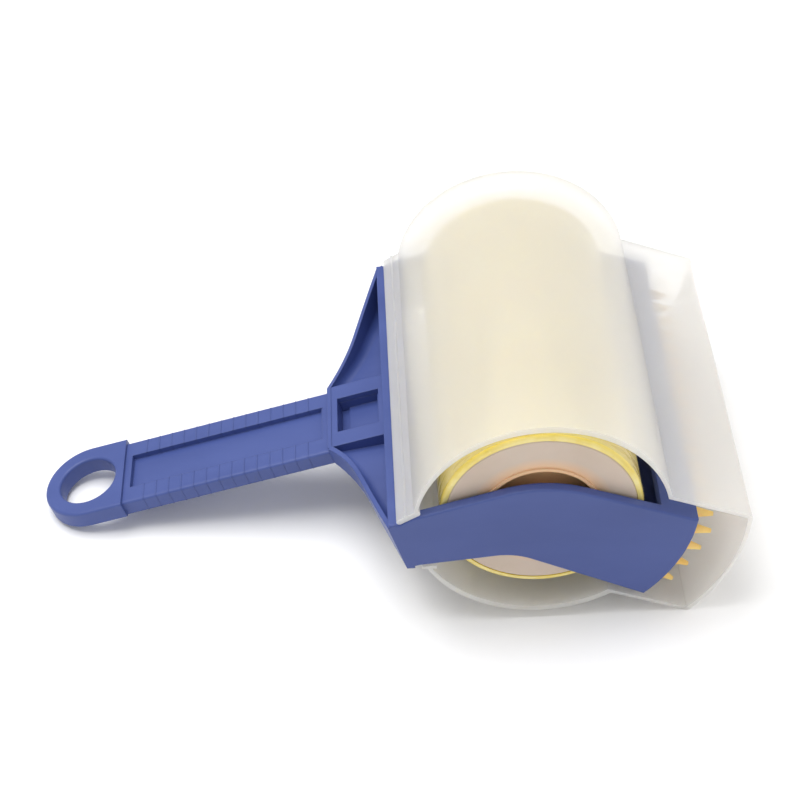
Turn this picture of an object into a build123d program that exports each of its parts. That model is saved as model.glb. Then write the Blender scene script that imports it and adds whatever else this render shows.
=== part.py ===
from build123d import *
import os
from math import atan2, cos, degrees, radians, sin, tan

# A washable lint roller: a sticky roller that spins between two arms, a strip of rubber
# fingers along the front, a handle with a hanging loop, and a frosted slide-off cover.
#
# Frame: the object lies on the plane Z = 0, resting on the tip of its loop and on the lower
# front corner of its cover. +X points from the handle to the rubber fingers, the roller's axis
# is parallel to Y, and the origin is under the middle of the whole object.

os.makedirs("parts", exist_ok=True)

# ---------------------------------------------------------------- driving dimensions (mm)
overall_length = 254.7          # tip of the loop to the front of the cover
cover_length = 142.0            # along the roller's axis

cover_radius = 44.6             # outside of the round part of the cover
cover_wall = 1.3
crown_share = 1.85              # the arch's wall is this many times thicker at its crown
cover_drop = 0.8                # the cover hangs this far below the roller's axis
nose_pitch = 22.5               # degrees, the cover's nose points forward and down
nose_reach = 67.3               # cover's axis to the line between the nose's two corners
nose_half_height = 25.2
nose_bulge = 4.6                # how far the nose's front wall bows out
nose_corner = 1.6               # corner radius of the nose

sleeve_radius = 35.0            # outside of the sticky sleeve
core_radius = 33.0              # outside of the tube and of the end caps
roller_half = 66.2              # half the length of the roller

arm_thickness = 3.5
skin = 2.4                      # wall thickness of the blue mouldings
running_gap = 0.08              # radial clearance of the roller on its stub axles

handle_pitch = 14.9             # degrees, the handle rises from its loop to the frame
handle_width = 32.6
bar_thickness = 6.0
loop_radius = 17.8
loop_thickness = 7.4
loop_edge = 1.0                 # rounding of the loop's edges
loop_hole_radius = 11.2
loop_hole_place = 17.1          # from the loop's tip
neck_place = (-73.5, -12.9)     # where the frame meets the handle, from the roller's axis


def nose_point(along, across):
    """Point of the side section, given along and across the nose's own axis."""
    turn = radians(nose_pitch)
    return (along * cos(turn) + across * sin(turn), across * cos(turn) - along * sin(turn))


def cover_region(inset):
    """Sketch of the cover's round part and nose, drawn inside its skin by the inset."""
    reach = nose_reach - inset
    half = nose_half_height - inset
    nose_axis = Axis((0, 0, 0), (*nose_point(1, 0), 0))
    with BuildSketch() as region:
        with BuildLine():
            upper = Line(nose_point(0, half), nose_point(reach, half))
            crown = nose_point(reach + nose_bulge, 0)
            front = ThreePointArc(upper @ 1, crown, nose_point(reach, -half))
            Polyline(front @ 1, nose_point(0, -half), upper @ 0)
        make_face()
        fillet(region.vertices().sort_by(nose_axis)[-2:], max(nose_corner - inset, 0.4))
        if inset > 0:
            Ellipse(cover_radius - inset, cover_radius - inset * crown_share)
        else:
            Circle(cover_radius)
    return region.sketch


cover_outside = cover_region(0)
cover_inside = cover_region(cover_wall)

# ---------------------------------------------------------------- derived places
# The cover's lowest corner and the loop's tip both touch the plane Z = 0.
handle_sine = sin(radians(handle_pitch))
handle_cosine = cos(radians(handle_pitch))
roller_x = overall_length / 2 - cover_outside.bounding_box().max.X
roller_height = cover_drop - cover_outside.bounding_box().min.Y
# The rounding of the loop's edges brings its tip in and up by this much.
tip_rounding = loop_edge * (handle_sine + handle_cosine - 1)
loop_tip_x = loop_thickness * handle_sine - tip_rounding - overall_length / 2
half_length = cover_length / 2
arm_inside = half_length - arm_thickness

# Sections of the roller end are drawn looking along the roller's axis: sketch x is +X and
# sketch y is +Z, measured from the axis, or from the cover's own centre.
side = Plane(origin=(roller_x, 0, roller_height), x_dir=(1, 0, 0), z_dir=(0, -1, 0))
cover_centre = (roller_x, 0, roller_height - cover_drop)
cover_side = Plane(origin=cover_centre, x_dir=(1, 0, 0), z_dir=(0, -1, 0))

# Handle shapes are drawn on the loop's lower face: sketch x runs up the handle from the loop's
# tip, sketch y is +Y, and heights are measured square to the face.
handle_base = Plane(
    origin=(loop_tip_x, 0, -tip_rounding),
    x_dir=(handle_cosine, 0, handle_sine),
    z_dir=(-handle_sine, 0, handle_cosine),
)
neck_x = roller_x + neck_place[0] - loop_tip_x
neck_z = roller_height + neck_place[1] + tip_rounding
neck_distance = neck_x * handle_cosine + neck_z * handle_sine


def finish(piece, name):
    """Label a finished piece and write it out."""
    piece.part.label = name
    export_step(piece.part, f"parts/{name}.step")


# ================================================================ cover
flange_length = 9.2
flange_thickness = 2.2
flange_tilt = 30.0              # degrees, the flange falls away from the arch
flange_centre = (-45.7, 5.8)
flange_root = (-43.4, 9.5)      # near the corner between the flange and the arch
flange_root_radius = 3.0
bead_centre = (-46.6, 6.55)     # bead along the top of the flange
bead_radius = 0.6
opening_top = 7.8               # the arch ends here and the flange takes over
opening_bottom = -18.6          # top of the lower lip
lower_lip_reach = 41.6
lower_lip_width = 5.0
opening_depth = 30.0            # the rear opening is cut from here backwards


with BuildPart() as cover:
    with BuildSketch(cover_side) as cover_profile:
        add(cover_outside)
        add(cover_inside, mode=Mode.SUBTRACT)
        with Locations((-opening_depth, opening_bottom)):
            Rectangle(
                opening_depth,
                opening_top - opening_bottom,
                align=(Align.MAX, Align.MIN),
                mode=Mode.SUBTRACT,
            )
        with Locations(flange_centre):
            SlotOverall(flange_length, flange_thickness, rotation=flange_tilt)
        root_corner = cover_profile.vertices().sort_by_distance((*flange_root, 0))[0]
        fillet(root_corner, flange_root_radius)
        with Locations(bead_centre):
            Circle(bead_radius)
        with Locations((-lower_lip_reach, opening_bottom)):
            Rectangle(lower_lip_width, cover_wall, align=(Align.MIN, Align.MAX))
    extrude(amount=half_length, both=True)
finish(cover, "cover")


# ================================================================ frame
# All places below are in the side section, measured from the roller's axis.
neck_half_width = 16.6
flare_start = (0.66, 0.75)      # direction in which the flare leaves the neck
flare_middle = (12.8, 38.6)     # on the rim plane, where its S changes hand
flare_end = (24.6, half_length)
flare_corner = 5.0
past_beam = 45.0                # the outline runs on through the beam
rim_pitch = 32.3                # degrees, the yoke's rim climbs from the neck to the arms
rim_width = 1.7
wall_lean = 16.0                # degrees, the yoke's walls lean forward as they go down
beam_back = -52.7               # top of the beam's rear wall, which leans with the yoke
groove_floor = 1.6              # the cover's flange slides just above this
slide_gap = 0.3                 # between the flange and the slope of its groove
yoke_bottom = -20.0
dish_place = (-73.0, -15.6)     # a point of the dish's floor
dish_pitch = 10.0
dish_corner = 3.0               # rounding between the dish's floor and its walls
rib_front = -42.4               # face of the rib that looks at the roller
rib_top = 4.8
rib_bottom = -12.0
arm_edge = 0.8                  # rounding of the arms' outer edges
arm_heel = -19.0                # bottom of the arm below the rib

arm_front_top = nose_point(50.8, 16.9)
arm_front_middle = nose_point(53.2, -3.2)
arm_front_bottom = nose_point(48.7, -23.0)
arm_crest = (0.9, 17.3)         # where the two straight top edges would meet
arm_elbow = (-9.7, -15.8)       # where the two straight bottom edges would meet
crest_radius = 42.0
elbow_radius = 22.0
channel_share = 0.24            # how much of the arm's front edges the channel takes
channel_opening = 0.1           # its inside runs on by this share, so it opens to the rear

stub_radius = 5.0
stub_length = 9.0
stub_chamfer = 1.0
boss_radius = 9.0
boss_height = 1.0

finger_rows = 8
finger_columns = 17
row_pitch = 3.9
column_pitch = 8.0
finger_root_radius = 2.2
finger_length = 8.2             # beyond the front plate
finger_taper = 9.7              # degrees
finger_gap = 0.15               # round each finger where it comes through the plate
pad_thickness = 2.0
pad_length = 134.0
retainer_thickness = 1.8
retainer_length = 134.0
band_gap = 0.1                  # between the plate, the pad and the retainer
plate_margin = 4.0              # the pad stops this far short of the plate's edges

# Heights of the handle's socket, in the handle's own frame.
socket_top = 8.2
socket_roof = 6.0
socket_floor = 1.4
socket_bottom = -1.2
socket_half_width = 13.6
socket_length = 21.4
window_start = 4.0              # from the neck
window_length = 16.0
window_half_width = 9.0
catch_width = 10.0
catch_length = 3.0
catch_start = 13.0
overcut = 5.0                   # how far a cut runs on beyond the wall that it opens


def slope_plane(place, pitch):
    """Plane through a point of the side section that climbs forward at the given pitch."""
    rise = radians(pitch)
    origin = (roller_x + place[0], 0, roller_height + place[1])
    return Plane(origin=origin, x_dir=(cos(rise), 0, sin(rise)), z_dir=(-sin(rise), 0, cos(rise)))


def yoke_outline(inset):
    """Outline of the yoke on its rim plane: a neck that flares in an S to the arms."""
    with BuildSketch() as outline:
        with BuildLine():
            neck_edge = Line((0, 0), (0, neck_half_width))
            concave = TangentArc(neck_edge @ 1, flare_middle, tangent=flare_start)
            convex = TangentArc(concave @ 1, flare_end, tangent=concave % 1)
            Polyline(convex @ 1, (past_beam, half_length), (past_beam, 0))
            mirror(about=Plane.XZ)
        make_face()
        fillet(outline.vertices().filter_by(lambda corner: corner.X == flare_end[0]), flare_corner)
        if inset > 0:
            offset(amount=-inset, mode=Mode.REPLACE)
    return outline.sketch


def rear_wall_point(height, inwards=0.0):
    """Point of the beam's rear wall at a height, or inside it by a distance along x."""
    drop = groove_floor - height
    return (beam_back + drop * tan(radians(wall_lean)) + inwards, height)


def groove_point(height):
    """Point, at a height, of the groove's slope just under the cover's flange."""
    tilt = radians(flange_tilt)
    rise = height + cover_drop - flange_centre[1]
    depth = flange_thickness / 2 + slide_gap
    return (flange_centre[0] + rise / tan(tilt) + depth / sin(tilt), height)


def beam_outline():
    """Section of the beam: a leaning rear wall, a sloping groove and a rib before it."""
    with BuildSketch() as outline:
        with BuildLine():
            Polyline(
                rear_wall_point(groove_floor),
                groove_point(groove_floor),
                groove_point(rib_top),
                (rib_front, rib_top),
                (rib_front, rib_bottom),
                (rib_front - skin, rib_bottom),
                (rib_front - skin, groove_floor - skin),
                rear_wall_point(groove_floor - skin, skin),
                rear_wall_point(yoke_bottom, skin),
                rear_wall_point(yoke_bottom),
                close=True,
            )
        make_face()
    return outline.sketch


def arm_outline():
    """Side view of an arm, with the groove that the cover's flange slides in."""
    with BuildSketch() as outline:
        with BuildLine():
            front = ThreePointArc(arm_front_top, arm_front_middle, arm_front_bottom)
            Polyline(
                front @ 1,
                arm_elbow,
                (rib_front, arm_heel),
                rear_wall_point(yoke_bottom),
                rear_wall_point(groove_floor),
                groove_point(groove_floor),
                groove_point(rib_top),
                (rib_front, rib_top),
                arm_crest,
                front @ 0,
            )
        make_face()
        fillet(outline.vertices().sort_by_distance((*arm_crest, 0))[0], crest_radius)
        fillet(outline.vertices().sort_by_distance((*arm_elbow, 0))[0], elbow_radius)
    return outline.sketch


def channel_outline(share, inset):
    """Front end of an arm's outline, a share of its straight edges long, less the inset."""
    with BuildSketch() as outline:
        with BuildLine():
            front = ThreePointArc(arm_front_top, arm_front_middle, arm_front_bottom)
            top_edge = Line(arm_front_top, arm_crest, mode=Mode.PRIVATE)
            bottom_edge = Line(arm_front_bottom, arm_elbow, mode=Mode.PRIVATE)
            Polyline(front @ 0, top_edge @ share, bottom_edge @ share, front @ 1)
        make_face()
        if inset > 0:
            offset(amount=-inset, mode=Mode.REPLACE)
    return outline.sketch


# The front plate is part of a cylinder. Its rows of fingers are set out by angle round it.
plate_arc = ThreePointArc(arm_front_bottom, arm_front_middle, arm_front_top)
plate_centre = plate_arc.arc_center
plate_radius = plate_arc.radius


def plate_angle(place):
    """Angle of a place on the front plate, in degrees about the plate's centre."""
    return degrees(atan2(place[1] - plate_centre.Y, place[0] - plate_centre.X))


plate_start = plate_angle(arm_front_bottom)
plate_end = plate_angle(arm_front_top)


def plate_band(depth, thickness, margin):
    """Sketch of a strip behind the front plate's outer face, short of both its edges."""
    end_angle = degrees(margin / plate_radius)
    start = plate_start + end_angle
    sweep = plate_end - plate_start - 2 * end_angle
    centre = (plate_centre.X, plate_centre.Y)
    with BuildSketch() as band:
        with BuildLine():
            outer = CenterArc(centre, plate_radius - depth, start, sweep)
            inner = CenterArc(centre, plate_radius - depth - thickness, start, sweep)
            Line(outer @ 0, inner @ 0)
            Line(outer @ 1, inner @ 1)
        make_face()
    return band.sketch


def finger_row_plane(row):
    """Plane on the front plate's outer face, square to the fingers of one row."""
    from_middle = (row - (finger_rows - 1) / 2) * row_pitch
    angle = radians((plate_start + plate_end) / 2) + from_middle / plate_radius
    place = plate_centre + Vector(cos(angle), sin(angle)) * plate_radius
    return Plane(
        origin=(roller_x + place.X, 0, roller_height + place.Y),
        x_dir=(0, 1, 0),
        z_dir=(cos(angle), 0, sin(angle)),
    )


def finger_places(row):
    """Places of one row's fingers: every other row is shifted by half a pitch."""
    odd = row % 2
    start = (odd - finger_columns + 1) / 2 * column_pitch
    return [(start + column * column_pitch, 0) for column in range(finger_columns - odd)]


def axle_plane(sign):
    """Plane on the inner face of the arm at +Y or -Y, facing the roller."""
    centre = (roller_x, sign * arm_inside, roller_height)
    return Plane(origin=centre, x_dir=(1, 0, 0), z_dir=(0, -sign, 0))


rim_plane = slope_plane(neck_place, rim_pitch)
dish_plane = slope_plane(dish_place, dish_pitch)
wall_direction = (sin(radians(wall_lean)), 0, -cos(radians(wall_lean)))
wall_height = 60.0              # long enough to run through the yoke's lower plane
beam_front_plane = Plane(
    origin=(roller_x + beam_back + skin, 0, roller_height + groove_floor),
    x_dir=(0, 1, 0),
    z_dir=(cos(radians(wall_lean)), 0, sin(radians(wall_lean))),
)
bottom_plane = Plane.XY.offset(roller_height + yoke_bottom)
yoke_outside = yoke_outline(0)
yoke_inside = yoke_outline(rim_width)

# The room inside the yoke's walls, above and below the floor of the dish.
with BuildPart() as dish:
    with BuildSketch(rim_plane):
        add(yoke_inside)
    extrude(amount=wall_height, dir=wall_direction)
    split(bisect_by=dish_plane, keep=Keep.TOP)
    dish_floor = dish.faces().sort_by(Axis(dish_plane.origin, dish_plane.z_dir))[0]
    fillet(dish_floor.edges(), dish_corner)

with BuildPart() as underside:
    with BuildSketch(rim_plane):
        add(yoke_inside)
    extrude(amount=wall_height, dir=wall_direction)
    split(bisect_by=dish_plane.offset(-skin), keep=Keep.BOTTOM)

arm_profile = arm_outline()
beam_profile = beam_outline()
channel_outside = channel_outline(channel_share, 0)
channel_inside = channel_outline(channel_share + channel_opening, skin)

with BuildPart() as arms:
    with BuildSketch(side.offset(arm_inside), side.offset(-half_length)):
        add(arm_profile)
    extrude(amount=arm_thickness)
    arm_faces = arms.faces().filter_by(Axis.Y).sort_by(Axis.Y)
    fillet([*arm_faces[0].edges(), *arm_faces[-1].edges()], arm_edge)

with BuildPart() as frame:
    # Yoke: walls all round, open above and below a sloping floor.
    with BuildSketch(rim_plane):
        add(yoke_outside)
    extrude(amount=wall_height, dir=wall_direction)
    add(dish.part, mode=Mode.SUBTRACT)
    add(underside.part, mode=Mode.SUBTRACT)
    # Socket for the handle's tongue, running forward to the beam.
    with BuildSketch(handle_base.offset(socket_bottom)):
        with Locations((neck_distance, 0)):
            Rectangle(2 * socket_length, handle_width, align=(Align.MIN, Align.CENTER))
    extrude(amount=socket_top - socket_bottom)
    split(bisect_by=beam_front_plane, keep=Keep.BOTTOM)
    split(bisect_by=bottom_plane, keep=Keep.TOP)
    # Beam behind the roller, from arm to arm.
    with BuildSketch(side):
        add(beam_profile)
    extrude(amount=half_length - arm_edge, both=True)
    # Front channel that carries the fingers, open towards the roller.
    with BuildSketch(side):
        add(channel_outside)
        add(channel_inside, mode=Mode.SUBTRACT)
    extrude(amount=half_length - arm_edge, both=True)
    # Arms, each with a boss and a stub axle on its inner face.
    add(arms.part)
    for sign in (-1, 1):
        inner_face = axle_plane(sign)
        with BuildSketch(inner_face):
            Circle(boss_radius)
        extrude(amount=boss_height)
        with BuildSketch(inner_face):
            Circle(stub_radius)
        extrude(amount=stub_length)
        stub_end = inner_face.offset(stub_length).origin
        end_face = frame.faces().filter_by(Axis.Y).sort_by_distance(stub_end)[0]
        chamfer(end_face.edges(), stub_chamfer)
    # Socket room, with a window in its roof and a slot for the catch in its floor.
    with BuildSketch(handle_base.offset(socket_floor)):
        with Locations((neck_distance + socket_length, 0)):
            Rectangle(
                socket_length + overcut,
                2 * socket_half_width,
                align=(Align.MAX, Align.CENTER),
            )
    extrude(amount=socket_roof - socket_floor, mode=Mode.SUBTRACT)
    with BuildSketch(handle_base.offset(socket_roof)):
        with Locations((neck_distance + window_start, 0)):
            Rectangle(window_length, 2 * window_half_width, align=(Align.MIN, Align.CENTER))
    extrude(amount=socket_top - socket_roof + overcut, mode=Mode.SUBTRACT)
    with BuildSketch(handle_base.offset(socket_floor)):
        with Locations((neck_distance + catch_start, 0)):
            Rectangle(catch_length, catch_width, align=(Align.MIN, Align.CENTER))
    extrude(amount=-overcut, mode=Mode.SUBTRACT)
    # Holes for the fingers.
    for row in range(finger_rows):
        with BuildSketch(finger_row_plane(row)):
            with Locations(*finger_places(row)):
                Circle(finger_root_radius + finger_gap)
        extrude(amount=overcut, both=True, mode=Mode.SUBTRACT)
finish(frame, "head_frame")


# ================================================================ fingers
pad_outside = plate_band(skin + band_gap, pad_thickness, plate_margin)
retainer_depth = skin + pad_thickness + 2 * band_gap
retainer_outside = plate_band(retainer_depth, retainer_thickness, plate_margin)

with BuildPart() as finger_strip:
    with BuildSketch(side):
        add(pad_outside)
    extrude(amount=pad_length / 2, both=True)
    # Each finger is a cylinder through the plate and a blunt cone beyond it.
    for row in range(finger_rows):
        row_face = finger_row_plane(row)
        with BuildSketch(row_face.offset(-skin - pad_thickness)):
            with Locations(*finger_places(row)):
                Circle(finger_root_radius)
        extrude(amount=skin + pad_thickness)
        with BuildSketch(row_face):
            with Locations(*finger_places(row)):
                Circle(finger_root_radius)
        extrude(amount=finger_length, taper=finger_taper)
finish(finger_strip, "finger_strip")

with BuildPart() as strip_retainer:
    with BuildSketch(side):
        add(retainer_outside)
    extrude(amount=retainer_length / 2, both=True)
finish(strip_retainer, "strip_retainer")


# ================================================================ roller
tube_inside = 30.6
cap_flange = 2.2                # thickness of a cap's flange
cap_skirt_radius = 30.5
cap_skirt_wall = 2.0
cap_skirt_depth = 9.0
cap_edge = 0.8                  # rounding of the cap's outer edge
ridge_outside = 20.6
ridge_inside = 19.4
ridge_height = 0.6
recess_inside = 17.2
recess_depth = 5.0
web = 2.0
hub_radius = 8.5
hub_depth = 12.0
hub_recess = 1.2                # the hub's face lies this far inside the cap's face
sleeve_gap = 0.02               # between the tube and the sleeve
sleeve_edge = 1.1               # rounding of the sleeve's ends
cap_gap = 0.05                  # between the tube's end and the cap's flange
film_gap = 0.05
film_thickness = 0.25
film_margin = 1.3               # the film stops this far short of the sleeve's ends


def roller_ring(outside, inside, half):
    """Ring about the roller's axis, centred on its length."""
    with BuildPart() as ring:
        with BuildSketch(side):
            Circle(outside)
            Circle(inside, mode=Mode.SUBTRACT)
        extrude(amount=half, both=True)
    return ring


roller_tube = roller_ring(core_radius, tube_inside, roller_half - cap_flange - cap_gap)
finish(roller_tube, "roller_tube")
with roller_ring(sleeve_radius, core_radius + sleeve_gap, roller_half) as sticky_sleeve:
    sleeve_rims = sticky_sleeve.edges().filter_by(GeomType.CIRCLE).group_by(SortBy.RADIUS)[-1]
    fillet(sleeve_rims, sleeve_edge)
finish(sticky_sleeve, "sticky_sleeve")
film_inside = sleeve_radius + film_gap
release_film = roller_ring(film_inside + film_thickness, film_inside, roller_half - film_margin)
finish(release_film, "release_film")


def end_cap(sign):
    """One end cap: a flange, a ridge, a cone-walled recess, a hub and a skirt in the tube."""
    # Profile in radius and depth below the cap's outer face, turned about the roller's axis.
    profile_plane = Plane(
        origin=(roller_x, sign * roller_half, roller_height), x_dir=(1, 0, 0), z_dir=(0, 0, sign)
    )
    bore = stub_radius + running_gap
    with BuildPart() as cap:
        with BuildSketch(profile_plane):
            with BuildLine():
                Polyline(
                    (core_radius, 0),
                    (ridge_outside, 0),
                    (ridge_outside, ridge_height),
                    (ridge_inside, ridge_height),
                    (ridge_inside, 0),
                    (recess_inside, -recess_depth),
                    (hub_radius, -recess_depth),
                    (hub_radius, -hub_recess),
                    (bore, -hub_recess),
                    (bore, -hub_depth),
                    (hub_radius, -hub_depth),
                    (hub_radius, -recess_depth - web),
                    (recess_inside + web, -recess_depth - web),
                    (ridge_inside + web, -cap_flange),
                    (cap_skirt_radius - cap_skirt_wall, -cap_flange),
                    (cap_skirt_radius - cap_skirt_wall, -cap_skirt_depth),
                    (cap_skirt_radius, -cap_skirt_depth),
                    (cap_skirt_radius, -cap_flange),
                    (core_radius, -cap_flange),
                    close=True,
                )
            make_face()
        revolve(axis=Axis((roller_x, 0, roller_height), (0, 1, 0)))
        rim = cap.edges().filter_by(GeomType.CIRCLE).group_by(SortBy.RADIUS)[-1]
        fillet(rim.sort_by(Axis.Y)[-1 if sign > 0 else 0], cap_edge)
    return cap


finish(end_cap(-1), "end_cap_near")
finish(end_cap(1), "end_cap_far")


# ================================================================ handle
bar_base = 0.2                  # the bar's lower face above the loop's lower face
bar_edge = 1.0                  # rounding of the bar's upper edges
loop_length = 31.9              # loop's tip to the step where the bar begins
root_overlap = 3.0              # how far a part of the handle runs back into the one before
panel_half_width = 8.5
panel_start = 34.6
panel_end_margin = 2.4
panel_depth = 2.2
grip_pitch = 5.0
grip_count = 14
grip_start = 40.2
grip_width = 0.35
grip_height = 0.12
tongue_gap = 0.1
tongue_length = 20.8
tongue_recess_floor = 2.4
tongue_recess_half_width = 9.0
tongue_recess_length = 15.0
under_panel_depth = 1.6
slot_length = 3.0
catch_drop = 1.2
catch_clearance = 0.2


def handle_slab(height, start, length, half_width):
    """Rectangle at a height above the loop's lower face, laid out along the handle."""
    with BuildSketch(handle_base.offset(height)) as slab:
        with Locations((start, 0)):
            Rectangle(length, 2 * half_width, align=(Align.MIN, Align.CENTER))
    return slab.sketch


def neck_slab(height, start, length, half_width):
    """The same, with its start counted from the neck."""
    return handle_slab(height, neck_distance + start, length, half_width)


def bar_section(start, growth=0.0):
    """Section of the bar, square to the handle, with its upper edges rounded."""
    middle = handle_base.from_local_coords((start, 0, bar_base + bar_thickness / 2))
    square = Plane(origin=middle, x_dir=(0, 1, 0), z_dir=handle_base.x_dir)
    with BuildSketch(square) as section:
        Rectangle(handle_width, bar_thickness)
        fillet(section.vertices().group_by(Axis.Y)[-1], bar_edge)
        if growth > 0:
            offset(amount=growth)
            Rectangle(2 * (panel_half_width - growth), 2 * bar_thickness, mode=Mode.SUBTRACT)
    return section.sketch


bar_length = neck_distance - loop_length
bar_top = bar_base + bar_thickness
panel_length = neck_distance - panel_end_margin - panel_start
tongue_base = socket_floor + tongue_gap
tongue_height = socket_roof - socket_floor - 2 * tongue_gap
tongue_slab = neck_slab(
    tongue_base, -root_overlap, tongue_length + root_overlap, socket_half_width - tongue_gap
)
hollow_slab = neck_slab(
    tongue_recess_floor, window_start, tongue_recess_length, tongue_recess_half_width
)
slot_slab = neck_slab(0, window_start, slot_length, tongue_recess_half_width)
catch_slab = neck_slab(
    tongue_base + catch_clearance,
    catch_start + catch_clearance,
    catch_length - 2 * catch_clearance,
    catch_width / 2 - catch_clearance,
)

with BuildPart() as handle:
    # Loop with its hanging hole, cut straight where the bar begins.
    with BuildSketch(handle_base):
        with Locations((loop_radius, 0)):
            Circle(loop_radius)
            Rectangle(
                loop_length - loop_radius,
                2 * loop_radius,
                align=(Align.MIN, Align.CENTER),
            )
        Rectangle(
            loop_length,
            2 * loop_radius,
            align=(Align.MIN, Align.CENTER),
            mode=Mode.INTERSECT,
        )
        with Locations((loop_hole_place, 0)):
            Circle(loop_hole_radius, mode=Mode.SUBTRACT)
    extrude(amount=loop_thickness)
    flat_faces = handle.faces().filter_by(Axis(handle_base.origin, handle_base.z_dir))
    # The straight end is left sharp, where the loop steps up from the bar.
    along_handle = Axis(handle_base.origin, handle_base.x_dir)
    fillet(flat_faces.edges().sort_by(along_handle)[:-2], loop_edge)
    # Bar, with a sunk panel above and below.
    extrude(bar_section(loop_length - root_overlap), bar_length + root_overlap)
    for height, depth in ((bar_top, -panel_depth), (bar_base, under_panel_depth)):
        panel_slab = handle_slab(height, panel_start, panel_length, panel_half_width)
        extrude(panel_slab, depth, mode=Mode.SUBTRACT)
    # Tongue in the frame's socket, hollowed under the window and slotted at its root.
    extrude(tongue_slab, tongue_height)
    extrude(hollow_slab, tongue_height, mode=Mode.SUBTRACT)
    extrude(slot_slab, tongue_height, mode=Mode.SUBTRACT)
    # Snap catch under the tongue.
    extrude(catch_slab, -catch_drop)
    # Fine grip ribs round both rails.
    for rib in range(grip_count):
        extrude(bar_section(grip_start + rib * grip_pitch, grip_height), grip_width)
finish(handle, "handle")
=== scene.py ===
import bpy
from mathutils import Matrix, Vector


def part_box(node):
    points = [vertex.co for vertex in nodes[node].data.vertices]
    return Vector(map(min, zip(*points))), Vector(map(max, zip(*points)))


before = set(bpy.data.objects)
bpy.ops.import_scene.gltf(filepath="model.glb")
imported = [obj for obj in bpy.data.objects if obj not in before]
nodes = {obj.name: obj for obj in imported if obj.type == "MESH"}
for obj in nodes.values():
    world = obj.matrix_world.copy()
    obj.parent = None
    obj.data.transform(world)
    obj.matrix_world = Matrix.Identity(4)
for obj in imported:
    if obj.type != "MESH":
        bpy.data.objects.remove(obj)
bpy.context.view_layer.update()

MM = 0.001

# ---------------------------------------------------------------- places read from the frame
sleeve_low, sleeve_high = (Vector(corner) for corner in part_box("sticky_sleeve"))
roller_centre = (sleeve_low + sleeve_high) / 2
sleeve_radius = sleeve_high.z - roller_centre.z

# ---------------------------------------------------------------- studio and camera, in metres
room_brightness = 0.62
floor_half_width = 3.0
# The flat rows run well past the object, so that the smoothing can't lift the floor there.
flat_rows = [(-2.0, 0.0), (-1.0, 0.0), (0.0, 0.0), (0.7, 0.0), (1.0, 0.0)]
curved_rows = [(1.6, 0.05), (2.0, 0.25), (2.3, 0.7), (2.4, 2.4)]
floor_smoothing = 3
focal_length = 86.0             # in millimetres, as is the sensor's width
sensor_width = 36.0
nearest_view = 0.02
camera_from_roller = Vector((-47.5, -520.5, 470.4)) * MM
camera_right = Vector((0.99856, -0.03746, -0.03836))
camera_back = Vector((-0.0018, -0.7379, 0.6749))


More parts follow.
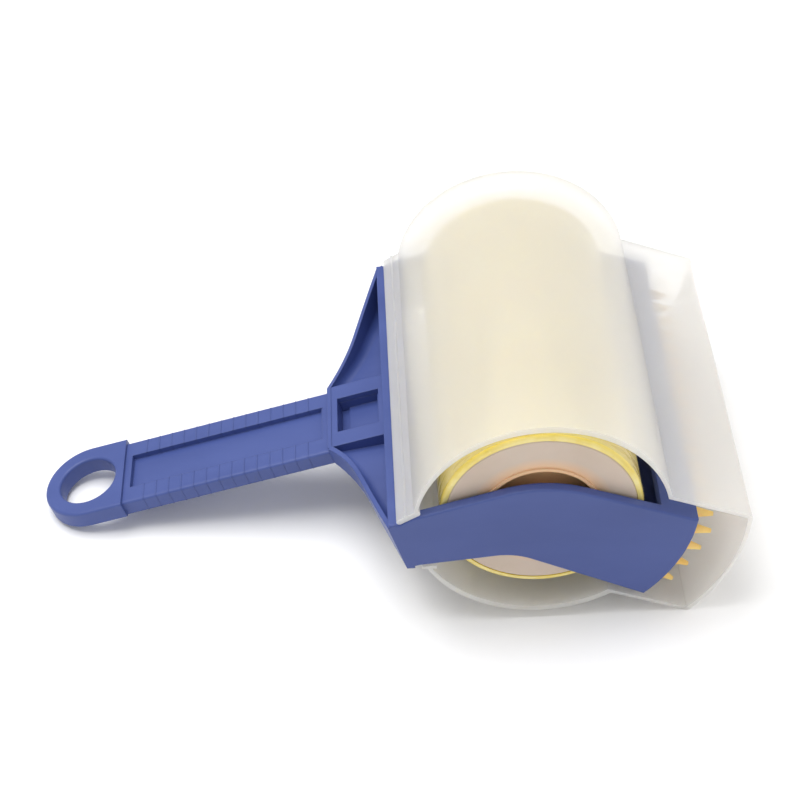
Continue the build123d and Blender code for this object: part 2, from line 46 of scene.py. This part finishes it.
# ---------------------------------------------------------------- material helpers
class Nodes:
    """A short way to write a material: one Principled shader and the nodes that feed it."""

    def __init__(self, name):
        self.material = bpy.data.materials.new(name)
        self.material.use_nodes = True
        self.tree = self.material.node_tree
        self.shader = self.tree.nodes["Principled BSDF"]
        coordinates = self.tree.nodes.new("ShaderNodeTexCoord")
        self.where = coordinates.outputs["Object"]
        self.facing = coordinates.outputs["Normal"]

    def set(self, **values):
        """Sets sockets of the shader, with underscores for the spaces in their names."""
        for name, value in values.items():
            socket = name.replace("_", " ").title().replace("Ior", "IOR")
            self.shader.inputs[socket].default_value = value
        return self

    def link(self, source, target):
        """Links a node's output to an input of the shader."""
        self.tree.links.new(source, self.shader.inputs[target])

    def add(self, kind, **inputs):
        """Adds a node. Inputs are values or other nodes' outputs."""
        node = self.tree.nodes.new("ShaderNode" + kind)
        for name, value in inputs.items():
            socket = node.inputs[name.replace("_", " ")]
            if isinstance(value, bpy.types.NodeSocket):
                self.tree.links.new(value, socket)
            else:
                socket.default_value = value
        return node

    def stretched(self, x, y, z):
        """Object coordinates, scaled along each axis."""
        mapping = self.add("Mapping", Vector=self.where)
        mapping.inputs["Scale"].default_value = (x, y, z)
        return mapping.outputs["Vector"]

    def noise(self, scale, detail=3.0, where=None):
        """Noise with this many features per metre."""
        texture = self.add("TexNoise", Vector=where or self.where, Scale=scale, Detail=detail)
        return texture.outputs["Fac"]

    def ramp(self, value, *stops):
        """Colours or greys along a value. Each stop is (place, grey or colour)."""
        node = self.add("ValToRGB", Fac=value)
        elements = node.color_ramp.elements
        while len(elements) < len(stops):
            elements.new(0.5)
        for element, (place, tone) in zip(elements, stops):
            element.position = place
            if isinstance(tone, (int, float)):
                tone = (tone, tone, tone)
            element.color = (*tone, 1.0)
        return node.outputs["Color"]

    def between(self, value, low, high):
        """Goes from one tone to the other over the middle of a noise's range."""
        return self.ramp(value, (0.3, low), (0.7, high))

    def bump(self, height, strength, distance, edge=0.0):
        """Bumps the surface, at a distance in metres, and softens its edges by a radius."""
        node = self.add("Bump", Height=height, Strength=strength, Distance=distance)
        if edge > 0:
            rounded = self.add("Bevel", Radius=edge)
            self.tree.links.new(rounded.outputs["Normal"], node.inputs["Normal"])
        self.link(node.outputs["Normal"], "Normal")

    def mix(self, share, first, second):
        """Mixes two colours: all the first at 0 and all the second at 1."""
        node = self.tree.nodes.new("ShaderNodeMixRGB")
        for socket, source in zip(node.inputs, (share, first, second)):
            self.tree.links.new(source, socket)
        return node.outputs["Color"]

    def from_axis(self, centre, reach):
        """Distance from a line along Y through a centre, as a share of the reach."""
        mapping = self.add("Mapping", Vector=self.where)
        mapping.inputs["Location"].default_value = (-centre.x / reach, 0, -centre.z / reach)
        mapping.inputs["Scale"].default_value = (1 / reach, 0, 1 / reach)
        length = self.tree.nodes.new("ShaderNodeVectorMath")
        length.operation = "LENGTH"
        self.tree.links.new(mapping.outputs["Vector"], length.inputs[0])
        return length.outputs["Value"]

    def end_face(self):
        """1 on faces square to the roller's axis, 0 on faces along it."""
        parts = self.add("SeparateXYZ", Vector=self.facing)
        size = self.tree.nodes.new("ShaderNodeMath")
        size.operation = "ABSOLUTE"
        self.tree.links.new(parts.outputs["Y"], size.inputs[0])
        return size.outputs["Value"]


def blue_plastic():
    """Moulded blue plastic with a satin skin and faint flow marks."""
    look = Nodes("blue_plastic").set(specular_ior_level=0.4)
    flow = look.noise(18, detail=4, where=look.stretched(1, 3, 3))
    grain = look.noise(2600, detail=2)
    dark = (0.046, 0.073, 0.245)
    light = (0.057, 0.088, 0.282)
    look.link(look.between(flow, dark, light), "Base Color")
    look.link(look.ramp(flow, (0.25, 0.36), (0.75, 0.46)), "Roughness")
    look.bump(grain, 0.12, 0.02 * MM, edge=0.5 * MM)
    return look.material


def frosted_plastic():
    """Translucent cover: milky in its depth and finely etched on its skin."""
    look = Nodes("frosted_plastic").set(
        transmission_weight=0.5,
        subsurface_weight=1.0,
        subsurface_scale=4 * MM,
        specular_ior_level=0.35,
        ior=1.3,
    )
    look.shader.inputs["Subsurface Radius"].default_value = (1.0, 0.96, 0.92)
    # The cut ends gather light and look solid, while the walls stay see-through.
    wall_alpha = 0.62
    end_alpha = 0.92
    look.link(look.ramp(look.end_face(), (0.5, wall_alpha), (0.95, end_alpha)), "Alpha")
    haze = look.noise(14, detail=4)
    dark = (0.85, 0.83, 0.79)
    light = (0.88, 0.86, 0.82)
    look.link(look.between(haze, dark, light), "Base Color")
    look.link(look.between(haze, 0.38, 0.44), "Roughness")
    look.bump(look.noise(1800), 0.15, 0.03 * MM)
    return look.material


def sticky_gel():
    """Tacky yellow gel: streaked along the roller's turn, paler at its ends."""
    look = Nodes("sticky_gel").set(specular_ior_level=0.5, coat_weight=0.3, coat_roughness=0.2)
    streaks = look.noise(26, detail=5, where=look.stretched(1, 5, 1))
    skin = look.ramp(streaks, (0.3, (0.84, 0.62, 0.06)), (0.6, (0.93, 0.76, 0.13)))
    torn_dark = (0.82, 0.64, 0.14)
    torn_light = (0.89, 0.77, 0.32)
    torn = look.between(look.noise(160, detail=4), torn_dark, torn_light)
    look.link(look.mix(look.end_face(), skin, torn), "Base Color")
    look.link(look.between(streaks, 0.22, 0.38), "Roughness")
    look.bump(look.noise(320), 0.2, 0.15 * MM)
    return look.material


def clear_film():
    """Thin clear film with a few wrinkles."""
    look = Nodes("clear_film").set(alpha=0.1)
    wrinkles = look.noise(60, detail=4, where=look.stretched(1, 3, 1))
    dark = (0.95, 0.93, 0.84)
    light = (0.97, 0.96, 0.90)
    look.link(look.between(wrinkles, dark, light), "Base Color")
    look.link(look.between(wrinkles, 0.06, 0.18), "Roughness")
    look.bump(wrinkles, 0.3, 0.3 * MM)
    return look.material


def cap_plastic():
    """Off-white end caps, with painted warm light in the recess that stands in for light
    coming through the gel.
    """
    look = Nodes("cap_plastic").set(
        specular_ior_level=0.4,
        subsurface_weight=0.1,
        subsurface_scale=4 * MM,
    )
    cloud = look.noise(40, detail=4)
    rim = look.between(cloud, (0.56, 0.45, 0.36), (0.63, 0.52, 0.43))
    # Painted light: the recess's warm orange is light coming through the gel, painted in, not
    # the cap's own colour.
    painted_gel_light = look.between(cloud, (0.78, 0.46, 0.24), (0.84, 0.52, 0.28))
    # Shares of the sleeve's radius over which the painted warm light of the recess turns into
    # the rim's own tone.
    fade_start = 0.55
    fade_end = 0.72
    from_axis = look.from_axis(roller_centre, sleeve_radius)
    outwards = look.ramp(from_axis, (fade_start, 0.0), (fade_end, 1.0))
    look.link(look.mix(outwards, painted_gel_light, rim), "Base Color")
    look.link(look.between(cloud, 0.38, 0.5), "Roughness")
    look.bump(look.noise(1500, detail=2), 0.1, 0.03 * MM, edge=0.3 * MM)
    return look.material


def tube_plastic():
    """Matt pale tube inside the sleeve."""
    look = Nodes("tube_plastic")
    cloud = look.noise(60)
    look.link(look.between(cloud, (0.62, 0.60, 0.55), (0.70, 0.68, 0.62)), "Base Color")
    look.link(look.between(cloud, 0.5, 0.65), "Roughness")
    return look.material


def amber_rubber():
    """Soft amber rubber that lets a little light in."""
    look = Nodes("amber_rubber").set(
        subsurface_weight=0.35,
        subsurface_scale=3 * MM,
        specular_ior_level=0.35,
    )
    look.shader.inputs["Subsurface Radius"].default_value = (1.0, 0.6, 0.2)
    cloud = look.noise(90)
    look.link(look.between(cloud, (0.84, 0.54, 0.14), (0.90, 0.64, 0.22)), "Base Color")
    look.link(look.between(cloud, 0.5, 0.65), "Roughness")
    look.bump(look.noise(900, detail=2), 0.2, 0.05 * MM)
    return look.material


def retainer_plastic():
    """Matt blue band behind the fingers."""
    look = Nodes("retainer_plastic")
    cloud = look.noise(50)
    look.link(look.between(cloud, (0.05, 0.08, 0.28), (0.07, 0.10, 0.33)), "Base Color")
    look.link(look.between(cloud, 0.5, 0.6), "Roughness")
    return look.material


def floor_paint():
    """Plain white floor."""
    look = Nodes("floor_paint").set(specular_ior_level=0.1)
    cloud = look.noise(3, detail=2)
    look.link(look.between(cloud, 0.92, 0.94), "Base Color")
    look.link(look.between(cloud, 0.75, 0.8), "Roughness")
    return look.material


blue = blue_plastic()
caps = cap_plastic()
materials = {
    "cover": frosted_plastic(),
    "head_frame": blue,
    "handle": blue,
    "finger_strip": amber_rubber(),
    "strip_retainer": retainer_plastic(),
    "roller_tube": tube_plastic(),
    "sticky_sleeve": sticky_gel(),
    "release_film": clear_film(),
    "end_cap_near": caps,
    "end_cap_far": caps,
}
for name, material in materials.items():
    nodes[name].material_slots[0].material = material


# ---------------------------------------------------------------- floor, light and camera
def make_floor():
    """A wide floor with its far edge curved up into a backdrop."""
    rows = flat_rows + curved_rows
    verts = [(side * floor_half_width, y, z) for y, z in rows for side in (-1, 1)]
    faces = [(2 * i, 2 * i + 1, 2 * i + 3, 2 * i + 2) for i in range(len(rows) - 1)]
    mesh = bpy.data.meshes.new("studio_floor")
    mesh.from_pydata(verts, [], faces)
    mesh.materials.append(floor_paint())
    floor = bpy.data.objects.new("studio_floor", mesh)
    bpy.context.collection.objects.link(floor)
    smooth = floor.modifiers.new("smooth", "SUBSURF")
    smooth.levels = floor_smoothing
    smooth.render_levels = floor_smoothing


def area_light(name, place, aim, size, power):
    """A square soft light at a place, aimed at a point."""
    data = bpy.data.lights.new(name, "AREA")
    data.size = size
    data.energy = power
    light = bpy.data.objects.new(name, data)
    light.location = place
    light.rotation_euler = (Vector(aim) - Vector(place)).to_track_quat("-Z", "Y").to_euler()
    bpy.context.collection.objects.link(light)


def make_lights():
    """A key above, a fill from the camera's side, a low light at the nose and a white room."""
    area_light("key", place=(-0.3, 0.1, 1.1), aim=(0, 0, 0.03), size=0.9, power=12.5)
    area_light("fill", place=(0.5, -0.9, 0.6), aim=(0, 0, 0.04), size=0.8, power=1.0)
    area_light("rim", place=(0.9, 0.3, 0.14), aim=(0.1, 0, 0.03), size=0.5, power=4)
    world = bpy.data.worlds.new("studio")
    world.use_nodes = True
    background = world.node_tree.nodes["Background"]
    background.inputs["Color"].default_value = (1, 1, 1, 1)
    background.inputs["Strength"].default_value = room_brightness
    bpy.context.scene.world = world
    bpy.context.scene.view_settings.view_transform = "Standard"


def make_camera():
    """Camera before the roller's near end and above it, looking down along the roller."""
    data = bpy.data.cameras.new("camera")
    data.lens = focal_length
    data.sensor_width = sensor_width
    data.clip_start = nearest_view
    camera = bpy.data.objects.new("camera", data)
    bpy.context.collection.objects.link(camera)
    back = camera_back.normalized()
    up = back.cross(camera_right.normalized()).normalized()
    right = up.cross(back)
    turn = Matrix((right, up, back)).transposed().to_4x4()
    place = roller_centre + camera_from_roller
    camera.matrix_world = Matrix.Translation(place) @ turn
    bpy.context.scene.camera = camera


make_floor()
make_lights()
make_camera()
